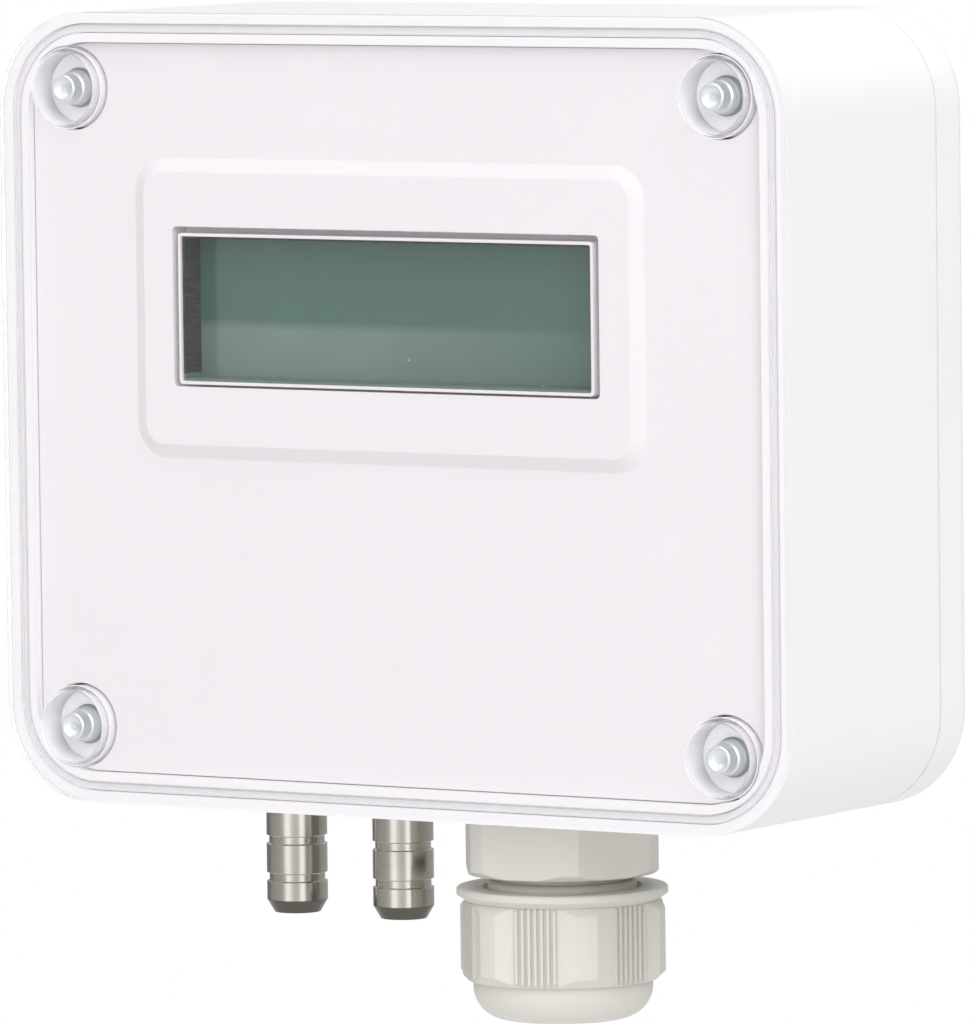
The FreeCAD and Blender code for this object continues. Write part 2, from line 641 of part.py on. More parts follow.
def board_screws():
    """Four screws that hold the main board on the standoffs."""
    screws = []
    seat = MAIN_BOARD_FRONT
    for x, z in board_screw_places():
        top = seat - BOARD_SCREW_HEAD
        tip = seat + BOARD_SCREW_LENGTH
        profile = [(0, top), (BOARD_SCREW_HEAD_RADIUS - 1.0, top), (BOARD_SCREW_HEAD_RADIUS, top + 0.8),
                   (BOARD_SCREW_HEAD_RADIUS, seat), (BOARD_SCREW_SHANK, seat), (BOARD_SCREW_SHANK, tip),
                   (0, tip)]
        screws.append(holed(turned_y(profile, x, z), cross_recess(x, z, top, 1.3, 1.0)))
    return Part.makeCompound(screws)


def pressure_sensor():
    """Differential pressure cell with two nozzles that point down."""
    left = PORT_X["high"] - 4.2
    right = PORT_X["low"] + 4.2
    front = MAIN_BOARD_FRONT - SENSOR_DEPTH
    body = block(left, right, front, MAIN_BOARD_FRONT, SENSOR_BOTTOM, SENSOR_TOP)
    body = body.makeChamfer(0.8, edges_at_depth(body, front))
    additions = []
    cuts = []
    for x in PORT_X.values():
        nozzle = [(0, SENSOR_BOTTOM + 1), (2.6, SENSOR_BOTTOM + 1), (2.6, SENSOR_BOTTOM - 1.0),
                  (PORT_SPIGOT_RADIUS, SENSOR_BOTTOM - 1.0), (PORT_SPIGOT_RADIUS, NOZZLE_END + 0.6),
                  (1.6, NOZZLE_END), (0, NOZZLE_END)]
        additions.append(turned_z(nozzle, x, FITTING_Y))
        cuts.append(rod_z(x, FITTING_Y, 1.0, NOZZLE_END - 1, SENSOR_BOTTOM + 6))
    middle = (left + right) / 2
    cuts.append(rod_y(middle, SENSOR_TOP - 5, 3.0, front - 1, front + 0.6))
    return holed(joined(body, additions), cuts)


def sensor_tube(x):
    """Silicone tube from a hose port to a nozzle of the sensor."""
    tube = rod_z(x, FITTING_Y, TUBE_RADIUS, UNDERSIDE + PORT_THREAD_TOP + 0.3, SENSOR_BOTTOM - 1.0)
    return tube.cut(rod_z(x, FITTING_Y, PORT_SPIGOT_RADIUS, UNDERSIDE, SENSOR_BOTTOM))


def controller_chip():
    """Square processor with leads on all four sides."""
    x, z = 8.0, 12.0
    body = block(x - 5, x + 5, MAIN_BOARD_FRONT - 1.5, MAIN_BOARD_FRONT - 0.15, z - 5, z + 5)
    leads = []
    for i in range(8):
        offset = -3.5 + i
        low = MAIN_BOARD_FRONT - 0.6
        leads.append(block(x + offset - 0.2, x + offset + 0.2, low, MAIN_BOARD_FRONT, z - 6, z + 6))
        leads.append(block(x - 6, x + 6, low, MAIN_BOARD_FRONT, z + offset - 0.2, z + offset + 0.2))
    return joined(body, leads)


def output_chip():
    """Driver for the output signal, with leads on two sides."""
    x, z = 28.0, 4.0
    body = block(x - 5, x + 5, MAIN_BOARD_FRONT - 1.9, MAIN_BOARD_FRONT - 0.15, z - 3, z + 3)
    leads = []
    for i in range(8):
        offset = (i - 3.5) * 1.27
        leads.append(block(x + offset - 0.22, x + offset + 0.22, MAIN_BOARD_FRONT - 0.7, MAIN_BOARD_FRONT,
                           z - 4.4, z + 4.4))
    return joined(body, leads)


def supply_capacitor():
    """Round electrolytic capacitor on a square foot, with a grooved can."""
    x, z = -32.0, 8.0
    front = MAIN_BOARD_FRONT - 8.6
    can = [(0, front), (3.6, front), (4.0, front + 0.5), (4.0, front + 5.6), (3.7, front + 5.9),
           (3.7, front + 6.4), (4.0, front + 6.7), (4.0, front + 7.6), (0, front + 7.6)]
    foot = block(x - 4.2, x + 4.2, front + 7.5, MAIN_BOARD_FRONT, z - 4.2, z + 4.2)
    return joined(turned_y(can, x, z), [foot])


def button_case():
    front = MAIN_BOARD_FRONT - BUTTON_CASE
    body = block(BUTTON_X - 3, BUTTON_X + 3, front, MAIN_BOARD_FRONT, BUTTON_Z - 3, BUTTON_Z + 3)
    chamber = rod_y(BUTTON_X, BUTTON_Z, 2.6, front + 0.8, MAIN_BOARD_FRONT - 0.6)
    hole = rod_y(BUTTON_X, BUTTON_Z, BUTTON_STEM_RADIUS + 0.08, front - 1, front + 2)
    return holed(body, [chamber, hole])


def button_plunger():
    front = MAIN_BOARD_FRONT - BUTTON_CASE
    profile = [(0, front - 1.6), (BUTTON_STEM_RADIUS - 0.25, front - 1.6), (BUTTON_STEM_RADIUS, front - 1.35),
               (BUTTON_STEM_RADIUS, front + 0.9), (2.4, front + 0.9), (2.4, front + 1.7), (0, front + 1.7)]
    return turned_y(profile, BUTTON_X, BUTTON_Z)


# Terminal block: screws turn in place and draw the cages to the fixed contact bars
def pole_places():
    return [POLE_FIRST_X + i * POLE_PITCH for i in range(POLES)]


def terminal_block():
    places = pole_places()
    body = block(places[0] - POLE_PITCH / 2 - 0.6, places[-1] + POLE_PITCH / 2 + 0.6, BLOCK_FRONT,
                 MAIN_BOARD_FRONT, BLOCK_BOTTOM, BLOCK_TOP)
    body = body.cut(block(places[0] - 9, places[-1] + 9, BLOCK_FRONT - 1, BLOCK_FRONT + 1.2,
                          BLOCK_TOP - 2.4, BLOCK_TOP + 1))
    cuts = []
    for x in places:
        cuts.append(block(x - CAGE_HALF - 0.1, x + CAGE_HALF + 0.1, CAGE_FRONT - 1.15, MAIN_BOARD_FRONT + 1,
                          BLOCK_BOTTOM - 1, CAGE_TOP + 1.7))
        cuts.append(rod_y(x, CAGE_MIDDLE, 1.95, BLOCK_FRONT - 1, CAGE_FRONT))
    return holed(body, cuts)


def terminal_screw(x):
    z = CAGE_MIDDLE
    front = BLOCK_FRONT + 0.2
    profile = [(0, front), (1.6, front), (1.8, front + 0.2), (1.8, front + 1.4), (1.2, front + 1.4),
               (1.2, BAR_FRONT - 0.15), (0, BAR_FRONT - 0.15)]
    slot = block(x - 2, x + 2, front - 1, front + 0.7, z - 0.3, z + 0.3)
    return turned_y(profile, x, z).cut(slot)


def terminal_cage(x):
    """Square wire cage; the screw runs through its front wall."""
    z = CAGE_MIDDLE
    body = block(x - CAGE_HALF, x + CAGE_HALF, CAGE_FRONT, CAGE_BACK, CAGE_BOTTOM, CAGE_TOP)
    tunnel = block(x - CAGE_HALF + 0.5, x + CAGE_HALF - 0.5, CAGE_FRONT + 1.0, CAGE_BACK - 0.6,
                   CAGE_BOTTOM - 1, CAGE_TOP + 1)
    return holed(body, [tunnel, rod_y(x, z, 1.25, CAGE_FRONT - 1, CAGE_FRONT + 2)])


def terminal_contacts():
    """Four contact bars that stand on the board and reach through the cages."""
    bars = []
    for x in pole_places():
        bar = block(x - 1.2, x + 1.2, BAR_FRONT, BAR_FRONT + 0.5, CAGE_BOTTOM + 0.5, CAGE_TOP + 1.2)
        leg = block(x - 1.2, x + 1.2, BAR_FRONT, MAIN_BOARD_FRONT, CAGE_TOP + 0.6, CAGE_TOP + 1.2)
        bars.append(joined(bar, [leg]))
    return Part.makeCompound(bars)


# Hose ports
def hose_port(x):
    """Turned stainless port: hose end with two grooves, hexagonal collar, thread and inner spigot."""
    collar_bottom = UNDERSIDE - PORT_COLLAR_HEIGHT
    top = UNDERSIDE + PORT_TOP
    shoulder = UNDERSIDE + PORT_THREAD_TOP
    profile = [(PORT_BORE_RADIUS, top), (PORT_SPIGOT_RADIUS - 0.4, top), (PORT_SPIGOT_RADIUS, top - 0.6),
               (PORT_SPIGOT_RADIUS, shoulder), (PORT_THREAD_RADIUS, shoulder),
               (PORT_THREAD_RADIUS, collar_bottom + 0.5), (PORT_RADIUS, collar_bottom + 0.5)]
    for start, end in PORT_GROOVES:
        profile += [(PORT_RADIUS, UNDERSIDE - start), (PORT_GROOVE_RADIUS, UNDERSIDE - start - 0.12),
                    (PORT_GROOVE_RADIUS, UNDERSIDE - end + 0.12), (PORT_RADIUS, UNDERSIDE - end)]
    tip = UNDERSIDE - PORT_LENGTH
    profile += [(PORT_RADIUS, tip + PORT_TIP_CHAMFER), (PORT_TIP_RADIUS, tip), (PORT_BORE_RADIUS + 0.4, tip),
                (PORT_BORE_RADIUS, tip + 0.4)]
    body = turned_z(profile, x, FITTING_Y)
    collar = hexagon_z(x, FITTING_Y, PORT_COLLAR_FLATS, collar_bottom, UNDERSIDE, 30)
    collar = collar.common(rod_z(x, FITTING_Y, 6.0, collar_bottom, UNDERSIDE))
    collar = collar.cut(rod_z(x, FITTING_Y, PORT_BORE_RADIUS + 0.5, collar_bottom - 1, UNDERSIDE + 1))
    recess = rod_z(x, FITTING_Y, PORT_SEAL_RADIUS + 0.05, UNDERSIDE - PORT_SEAL_HEIGHT, UNDERSIDE + 1)
    thread = rod_z(x, FITTING_Y, PORT_THREAD_RADIUS, UNDERSIDE - 2, UNDERSIDE + 2)
    collar = collar.cut(recess.cut(thread))
    return joined(body, [collar])


def port_seal(x):
    ring = rod_z(x, FITTING_Y, PORT_SEAL_RADIUS, UNDERSIDE - PORT_SEAL_HEIGHT, UNDERSIDE)
    return ring.cut(rod_z(x, FITTING_Y, PORT_THREAD_RADIUS + 0.05, UNDERSIDE - 2, UNDERSIDE + 1))


def port_nut(x):
    top = WALL_INSIDE + PORT_NUT_HEIGHT
    nut = hexagon_z(x, FITTING_Y, PORT_NUT_FLATS, WALL_INSIDE, top, 30)
    shaped = [(0, WALL_INSIDE), (5.2, WALL_INSIDE), (5.7, WALL_INSIDE + 0.5), (5.7, top - 0.5), (5.2, top),
              (0, top)]
    nut = nut.common(turned_z(shaped, x, FITTING_Y))
    return nut.cut(rod_z(x, FITTING_Y, PORT_THREAD_RADIUS, WALL_INSIDE - 1, WALL_INSIDE + 4))


# Cable gland
def gland_body():
    """Polyamide body: thread through the wall, hexagon, neck and clamping mouth."""
    hex_top = UNDERSIDE - GLAND_WASHER
    hex_bottom = UNDERSIDE - GLAND_HEX_BOTTOM
    neck_end = UNDERSIDE - GLAND_NECK_END
    top = UNDERSIDE + GLAND_THREAD_TOP
    bar = hexagon_z(GLAND_X, FITTING_Y, GLAND_FLATS, hex_bottom, hex_top, GLAND_HEX_TURN)
    cone = [(0, hex_top), (GLAND_CORNER_RADIUS, hex_top), (GLAND_CORNER_RADIUS, hex_bottom + 0.7),
            (GLAND_CORNER_RADIUS - 1.0, hex_bottom), (0, hex_bottom)]
    bar = bar.common(turned_z(cone, GLAND_X, FITTING_Y))
    stem = [(0, top), (GLAND_THREAD_RADIUS - 0.6, top), (GLAND_THREAD_RADIUS, top - 0.6),
            (GLAND_THREAD_RADIUS, hex_top - 1), (GLAND_UNDERCUT_RADIUS, hex_top - 1),
            (GLAND_UNDERCUT_RADIUS, hex_bottom - 0.9), (GLAND_NECK_RADIUS - 0.4, hex_bottom - 0.9),
            (GLAND_NECK_RADIUS, hex_bottom - 1.3), (GLAND_NECK_RADIUS, neck_end + 1.0),
            (GLAND_NECK_RADIUS - 0.7, neck_end), (0, neck_end)]
    body = joined(bar, [turned_z(stem, GLAND_X, FITTING_Y)])
    bore = [(0, top + 1), (GLAND_BORE_RADIUS, top + 1), (GLAND_BORE_RADIUS, UNDERSIDE - 10.0),
            (GLAND_MOUTH_RADIUS, UNDERSIDE - 10.6), (GLAND_MOUTH_RADIUS, neck_end - 1), (0, neck_end - 1)]
    slits = []
    for i in range(6):
        t = 30 + 60 * i
        slit = block(-GLAND_SLIT / 2, GLAND_SLIT / 2, -12, -7, neck_end - 1, neck_end + 5)
        slit.rotate(vec(0, 0, 0), vec(0, 0, 1), t)
        slit.translate(vec(GLAND_X, FITTING_Y, 0))
        slits.append(slit)
    return holed(body, [turned_z(bore, GLAND_X, FITTING_Y)] + slits)


def gland_washer():
    """Flat seal between the gland's hexagon and the housing."""
    ring = rod_z(GLAND_X, FITTING_Y, 12.2, UNDERSIDE - GLAND_WASHER, UNDERSIDE)
    return ring.cut(rod_z(GLAND_X, FITTING_Y, GLAND_THREAD_RADIUS, UNDERSIDE - 2, UNDERSIDE + 1))


def gland_locknut():
    top = WALL_INSIDE + LOCKNUT_HEIGHT
    nut = hexagon_z(GLAND_X, FITTING_Y, LOCKNUT_FLATS, WALL_INSIDE, top, 30)
    nut = nut.common(rod_z(GLAND_X, FITTING_Y, 13.4, WALL_INSIDE, top))
    return nut.cut(rod_z(GLAND_X, FITTING_Y, GLAND_THREAD_RADIUS, WALL_INSIDE - 1, top + 1))


def gland_seal():
    """Rubber sleeve that grips the cable."""
    top = UNDERSIDE - SEAL_TOP
    shoulder = UNDERSIDE - SEAL_SHOULDER
    sleeve = GLAND_MOUTH_RADIUS - 0.1
    profile = [(SEAL_BORE_RADIUS, top), (sleeve, top), (sleeve, shoulder), (SEAL_END_RADIUS, shoulder),
               (SEAL_END_RADIUS, shoulder - 1.2), (7.0, shoulder - 3.2), (6.0, shoulder - 3.2),
               (SEAL_BORE_RADIUS, shoulder - 2.6)]
    return turned_z(profile, GLAND_X, FITTING_Y)


def gland_nut():
    """Dome nut: round lip, six ribbed grip flats and a rounded end with the cable opening."""
    lip_top = UNDERSIDE - NUT_LIP_TOP
    lip_bottom = lip_top - NUT_LIP_HEIGHT
    skirt_end = UNDERSIDE - NUT_SKIRT_END
    end = UNDERSIDE - NUT_END
    grip = hexagon_z(GLAND_X, FITTING_Y, NUT_FLATS, skirt_end, lip_bottom, NUT_TURN)
    half = NUT_FLATS / 2
    half_rib = NUT_RIB_WIDTH / 2
    ribs = []
    for side in range(6):
        for i in range(NUT_RIBS):
            offset = (i - (NUT_RIBS - 1) / 2) * NUT_RIB_PITCH
            rib = block(offset - half_rib, offset + half_rib, -half - NUT_RIB_STAND, -half + 0.3,
                        skirt_end, lip_bottom)
            rib.rotate(vec(0, 0, 0), vec(0, 0, 1), NUT_TURN + 30 + 60 * side)
            rib.translate(vec(GLAND_X, FITTING_Y, 0))
            ribs.append(rib)
    shaped = [(0, lip_bottom), (half + 0.1, lip_bottom), (NUT_CORNER_RADIUS, lip_bottom - 1.2),
              (NUT_CORNER_RADIUS, skirt_end + 1.1), (half, skirt_end), (0, skirt_end)]
    grip = joined(grip, ribs).common(turned_z(shaped, GLAND_X, FITTING_Y))
    lip = [(0, lip_top), (NUT_LIP_RADIUS - 0.2, lip_top), (NUT_LIP_RADIUS, lip_top - 0.2),
           (NUT_LIP_RADIUS, lip_bottom + 0.5), (half + 0.2, lip_bottom - 0.3), (0, lip_bottom - 0.3)]
    dome_start = skirt_end - 0.85
    round_radius = dome_start - end
    outer_x = GLAND_X + NUT_DOME_RADIUS
    inner_x = outer_x - round_radius
    top_centre = vec(GLAND_X, FITTING_Y, skirt_end + 0.5)
    top_edge = vec(outer_x, FITTING_Y, skirt_end + 0.5)
    round_start = vec(outer_x, FITTING_Y, dome_start)
    bend = math.sqrt(0.5) * round_radius
    round_middle = vec(inner_x + bend, FITTING_Y, dome_start - bend)
    round_end = vec(inner_x, FITTING_Y, end)
    end_centre = vec(GLAND_X, FITTING_Y, end)
    edges = [Part.LineSegment(end_centre, top_centre).toShape(),
             Part.LineSegment(top_centre, top_edge).toShape(),
             Part.LineSegment(top_edge, round_start).toShape(),
             Part.Arc(round_start, round_middle, round_end).toShape(),
             Part.LineSegment(round_end, end_centre).toShape()]
    cap = Part.Face(Part.Wire(edges)).revolve(vec(GLAND_X, FITTING_Y, 0), vec(0, 0, 1), 360)
    shoulder = UNDERSIDE - SEAL_SHOULDER
    seat = SEAL_END_RADIUS + 0.1
    mouth = NUT_BORE_RADIUS + NUT_LEAD_IN
    bore = [(0, lip_top + 1), (mouth, lip_top + 1), (mouth, lip_top),
            (NUT_BORE_RADIUS, lip_top - 0.7), (NUT_BORE_RADIUS, shoulder + 0.3),
            (seat, shoulder), (seat, shoulder - 1.3), (NUT_MOUTH_RADIUS, shoulder - 3.3),
            (NUT_MOUTH_RADIUS, end + 0.4), (NUT_MOUTH_RADIUS + 0.4, end), (NUT_MOUTH_RADIUS + 0.4, end - 1),
            (0, end - 1)]
    body = joined(grip, [turned_z(lip, GLAND_X, FITTING_Y), cap])
    return body.cut(turned_z(bore, GLAND_X, FITTING_Y))


def all_parts():
    parts = {
        "rear_base": rear_base(), "base_screws": base_screws(), "housing": housing(),
        "screw_inserts": screw_inserts(), "lid": lid(), "lid_gasket": lid_gasket(),
        "faceplate": faceplate(), "display_frame": display_frame(), "display_liner": display_liner(),
        "lcd_panel": lcd_panel(), "lcd_holder": lcd_holder(), "display_board": display_board(),
        "display_screws": display_screws(), "board_header": board_header(), "board_socket": board_socket(),
        "main_board": main_board(), "board_screws": board_screws(), "pressure_sensor": pressure_sensor(),
        "controller_chip": controller_chip(), "output_chip": output_chip(),
        "supply_capacitor": supply_capacitor(), "button_case": button_case(),
        "button_plunger": button_plunger(), "terminal_block": terminal_block(),
        "terminal_contacts": terminal_contacts(), "gland_body": gland_body(), "gland_washer": gland_washer(),
        "gland_locknut": gland_locknut(), "gland_seal": gland_seal(), "gland_nut": gland_nut(),
    }
    for corner, (sx, sz) in CORNERS.items():
        parts["lid_screw_" + corner] = lid_screw(sx * SCREW_X, sz * SCREW_Z)
        parts["screw_retainer_" + corner] = screw_retainer(sx * SCREW_X, sz * SCREW_Z)
    for side, x in PORT_X.items():
        parts["port_" + side] = hose_port(x)
        parts["port_seal_" + side] = port_seal(x)
        parts["port_nut_" + side] = port_nut(x)
        parts["sensor_tube_" + side] = sensor_tube(x)
    for number, x in enumerate(pole_places(), start=1):
        parts["terminal_screw_%d" % number] = terminal_screw(x)
        parts["terminal_cage_%d" % number] = terminal_cage(x)
    return parts


os.makedirs("parts", exist_ok=True)
for name, shape in all_parts().items():
    shape.exportStep("parts/%s.step" % name)
    print("%-22s solids %d  valid %s" % (name, len(shape.Solids), shape.isValid()))
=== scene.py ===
import math

import bmesh
import bpy
from mathutils import Matrix, Vector


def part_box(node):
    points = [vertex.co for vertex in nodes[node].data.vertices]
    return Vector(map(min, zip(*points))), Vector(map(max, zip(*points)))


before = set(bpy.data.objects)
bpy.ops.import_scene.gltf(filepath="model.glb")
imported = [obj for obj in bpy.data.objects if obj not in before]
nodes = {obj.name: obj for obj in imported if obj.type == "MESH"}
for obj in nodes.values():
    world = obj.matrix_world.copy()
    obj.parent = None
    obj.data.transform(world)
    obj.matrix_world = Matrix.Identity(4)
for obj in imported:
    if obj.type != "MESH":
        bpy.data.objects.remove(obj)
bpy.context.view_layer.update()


# Rear base and housing: two boxes injection moulded in glossy white polycarbonate. The base
# goes on the wall first, and four screws through the housing floor hold the housing on it.
class Wire:
    """The output of a shader node, which adds and multiplies as a number does."""

    def __init__(self, finish, socket):
        self.finish = finish
        self.socket = socket

    def math(self, operation, first, second=0.0, clamp=False):
        return self.finish.math(operation, first, second, clamp)

    def __add__(self, other):
        return self.math("ADD", self, other)

    def __radd__(self, other):
        return self.math("ADD", other, self)

    def __sub__(self, other):
        return self.math("SUBTRACT", self, other)

    def __rsub__(self, other):
        return self.math("SUBTRACT", other, self)

    def __mul__(self, other):
        return self.math("MULTIPLY", self, other)

    def __rmul__(self, other):
        return self.math("MULTIPLY", other, self)

    def above(self, edge, width):
        """0 below the edge, 1 above it, with a soft step of that width."""
        return self.math("MULTIPLY", self - (edge - width / 2), 1 / width, clamp=True)

    def below(self, edge, width):
        return 1 - self.above(edge, width)

    def part(self, axis):
        return self.finish.node("ShaderNodeSeparateXYZ", {}, {0: self}, axis)


class Finish:
    """A material with one Principled shader, and the nodes that feed it."""

    def __init__(self, name, **plain):
        self.material = bpy.data.materials.new(name)
        self.material.use_nodes = True
        self.tree = self.material.node_tree
        self.shader = self.tree.nodes["Principled BSDF"]
        for socket, value in plain.items():
            self.shader.inputs[socket.replace("_", " ")].default_value = value

    def node(self, kind, settings, inputs, output=0):
        """Any node: its settings first, then the values or links of its sockets."""
        made = self.tree.nodes.new(kind)
        for key, value in settings.items():
            if key == "stops":
                ramp = made.color_ramp
                while len(ramp.elements) < len(value):
                    ramp.elements.new(1.0)
                for element, (position, colour) in zip(ramp.elements, value):
                    element.position = position
                    element.color = (*colour, 1.0)
            else:
                setattr(made, key, value)
        for key, value in inputs.items():
            if isinstance(value, Wire):
                self.tree.links.new(value.socket, made.inputs[key])
            else:
                made.inputs[key].default_value = value
        return Wire(self, made.outputs[output])

    def math(self, operation, first, second=0.0, clamp=False):
        settings = {"operation": operation, "use_clamp": clamp}
        return self.node("ShaderNodeMath", settings, {0: first, 1: second})

    def place(self):
        return self.node("ShaderNodeTexCoord", {}, {}, "Object")

    def noise(self, size, detail=2.0, stretch=(1.0, 1.0, 1.0)):
        """Soft noise from 0 to 1, whose lumps are about that size in metres."""
        where = self.node("ShaderNodeMapping", {}, {"Vector": self.place(), "Scale": stretch})
        lumps = {"Vector": where, "Scale": 1 / size, "Detail": detail}
        return self.node("ShaderNodeTexNoise", {}, lumps)

    def cells(self, size, stretch=(1.0, 1.0, 1.0)):
        """The distance to the nearest of points that lie about that size apart, as a share of it."""
        where = self.node("ShaderNodeMapping", {}, {"Vector": self.place(), "Scale": stretch})
        return self.node("ShaderNodeTexVoronoi", {}, {"Vector": where, "Scale": 1 / size}, "Distance")

    def mix(self, share, first, second):
        """A colour between two colours."""
        colours = {0: share}
        for socket, colour in ((6, first), (7, second)):
            colours[socket] = colour if isinstance(colour, Wire) else (*colour, 1.0)
        return self.node("ShaderNodeMix", {"data_type": "RGBA"}, colours, 2)

    def feed(self, socket, wire):
        self.tree.links.new(wire.socket, self.shader.inputs[socket])

    def relief(self, height, distance, rounding=0.0):
        """Bumps of that height in metres, on edges rounded by that radius."""
        inputs = {"Height": height, "Distance": distance, "Strength": 1.0}
        if rounding:
            inputs["Normal"] = self.node("ShaderNodeBevel", {"samples": 4}, {"Radius": rounding})
        self.feed("Normal", self.node("ShaderNodeBump", {}, inputs))


def moulded(name, colour, shade, roughness, grain, rounding=0.0, **plain):
    """Moulded plastic: faint flow clouds in the colour, and the grain of the tool's surface."""
    finish = Finish(name, **plain)
    clouds = finish.noise(0.018, 3.0)
    finish.feed("Base Color", finish.mix(clouds, colour, shade))
    finish.feed("Roughness", roughness + 0.05 * finish.noise(0.004, 3.0))
    finish.relief(finish.noise(grain, 2.0), 0.00001, rounding)
    return finish


def dress(finish, *names):
    """Gives CAD nodes a finish."""
    for name in names:
        nodes[name].data.materials.clear()
        nodes[name].data.materials.append(finish.material)


CORNERS = ("tl", "tr", "bl", "br")
white_case = moulded("white_case", (0.925, 0.925, 0.935), (0.900, 0.903, 0.915),
                     0.32, 0.00035, 0.00025, IOR=1.58)
dress(white_case, "rear_base", "housing")

# Base screws, board screws and display screws: small zinc-plated steel screws with a cross or a
# slot in the head. They cut their own threads in the plastic bosses.
zinc = Finish("zinc_plate", Metallic=1.0)
zinc.feed("Base Color", zinc.mix(zinc.noise(0.0012, 3.0), (0.55, 0.58, 0.60), (0.68, 0.71, 0.73)))
zinc.feed("Roughness", 0.20 + 0.22 * zinc.noise(0.0007, 3.0))
zinc.relief(zinc.noise(0.00012, 2.0, (1.0, 0.3, 1.0)), 0.000006, 0.00008)
dress(zinc, "base_screws", "board_screws", "display_screws")

# Screw inserts, port nuts, terminal cages and contacts: brass, turned or stamped and then
# tumbled, so that it is bright on the edges and duller in the hollows.
brass = Finish("tumbled_brass", Metallic=1.0)
brass.feed("Base Color", brass.mix(brass.noise(0.0015, 3.0), (0.62, 0.46, 0.20), (0.78, 0.62, 0.33)))
brass.feed("Roughness", 0.22 + 0.2 * brass.noise(0.0009, 3.0))
brass.relief(brass.noise(0.00015), 0.000005, 0.00008)
dress(brass, "screw_inserts", "port_nut_high", "port_nut_low", "terminal_contacts")
dress(brass, *["terminal_cage_%d" % number for number in range(1, 5)])

# Main board and display board: green glass-fibre boards with a satin solder mask. Tracks show
# as slightly raised, lighter lines, and plated holes as pale dots.
board_green = Finish("solder_mask", IOR=1.5, Coat_Weight=0.3)
TRACK_SCALE = 260.0
HOLE_PITCH = 0.0065
upright_board = board_green.node("ShaderNodeMapping", {}, {
    "Vector": board_green.place(), "Rotation": (math.pi / 2, 0, 0)})
lanes = board_green.node("ShaderNodeTexBrick", {"offset": 0.35, "squash": 0.6}, {
    "Vector": upright_board, "Scale": TRACK_SCALE, "Mortar Size": 0.02, "Mortar Smooth": 0.3}, 1)
holes = board_green.cells(HOLE_PITCH, stretch=(1.0, 0.01, 1.0)).below(0.09, 0.03)
mask = board_green.mix(lanes, (0.010, 0.115, 0.045), (0.020, 0.205, 0.085))
board_green.feed("Base Color", board_green.mix(holes, mask, (0.62, 0.60, 0.55)))
board_green.feed("Roughness", 0.32 + 0.1 * board_green.noise(0.002))
board_green.relief(lanes + 0.5 * holes, 0.00003)
dress(board_green, "main_board", "display_board")

# Chips, pin strip, socket strip, sensor cell and zero button: black glass-filled moulding
# compound with a fine even spark grain.
black = moulded("black_compound", (0.022, 0.022, 0.024), (0.036, 0.035, 0.036), 0.42, 0.00014, 0.0001)
dress(black, "controller_chip", "output_chip", "board_header", "board_socket", "pressure_sensor",
      "button_case", "button_plunger")

# Supply capacitor: a drawn aluminium can, left plain, with fine drawing lines along its axis. It
# stands on the output side of the main board.
can = Finish("drawn_can", Metallic=1.0)
can.feed("Base Color", can.mix(can.noise(0.002, 2.0), (0.70, 0.71, 0.73), (0.80, 0.80, 0.81)))
can.feed("Roughness", 0.25 + 0.15 * can.noise(0.0004, 2.0, (1.0, 0.05, 1.0)))
can.relief(can.noise(0.00012, 2.0, (1.0, 0.1, 1.0)), 0.000005)
dress(can, "supply_capacitor")

# Terminal block: green polyamide housing with four slotted steel screws, which turn in place
# and draw their cages up to the contact bars.
terminal_green = moulded("terminal_polyamide", (0.035, 0.30, 0.11), (0.050, 0.36, 0.15),
                         0.35, 0.0002, 0.00015)
dress(terminal_green, "terminal_block")
dress(zinc, *["terminal_screw_%d" % number for number in range(1, 5)])

# Sensor tubes and lid gasket: milky silicone, extruded, with fine drawing lines. The tubes join
# the ports to the sensor cell, and the gasket lies in the groove of the housing's rim.
silicone = Finish("silicone", Subsurface_Weight=0.2, Subsurface_Radius=(0.001, 0.001, 0.001))
cloudy = silicone.mix(silicone.noise(0.003), (0.78, 0.78, 0.77), (0.86, 0.86, 0.85))
silicone.feed("Base Color", cloudy)
silicone.feed("Roughness", 0.45 + 0.15 * silicone.noise(0.001))
silicone.relief(silicone.noise(0.0002, 2.0, (1.0, 1.0, 0.2)), 0.00001)
dress(silicone, "sensor_tube_high", "sensor_tube_low", "lid_gasket")

# Faceplate and window frame: the white cover in front of the boards. The raised bezel is
# moulded with it, and the thin frame is snapped into the window from behind.
panel_white = moulded("panel_white", (0.872, 0.850, 0.868), (0.856, 0.833, 0.852),
                      0.36, 0.0003, 0.0002, IOR=1.5)
dress(panel_white, "faceplate", "display_frame")

# Liner: a strip of dark grey foam round the inside of the window frame. Its upright cell walls
# carry lighter streaks of painted highlight, and its lower run is painted with the glass's
# grey-green as a painted reflection of the glass.
foam = Finish("dark_foam")
streaks = foam.noise(0.0006, 3.0, (1.0, 0.25, 2.2))
LINER_REFLECTION_HEIGHT = 0.0009
liner_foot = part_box("display_liner")[0].z
# Painted reflection: the liner's lower run takes the grey-green of the glass.
faded = foam.place().part("Z").below(liner_foot + LINER_REFLECTION_HEIGHT, 0.0002)
# Painted highlight: lighter streaks where light would catch the upright cell walls.
streak_highlight_strip = foam.mix(streaks.above(0.54, 0.3), (0.006, 0.006, 0.008), (0.050, 0.048, 0.054))
foam.feed("Base Color", foam.mix(faded, streak_highlight_strip, (0.120, 0.190, 0.160)))
foam.feed("Roughness", 0.6 + 0.2 * streaks)
foam.relief(streaks, 0.00008)
dress(foam, "display_liner")
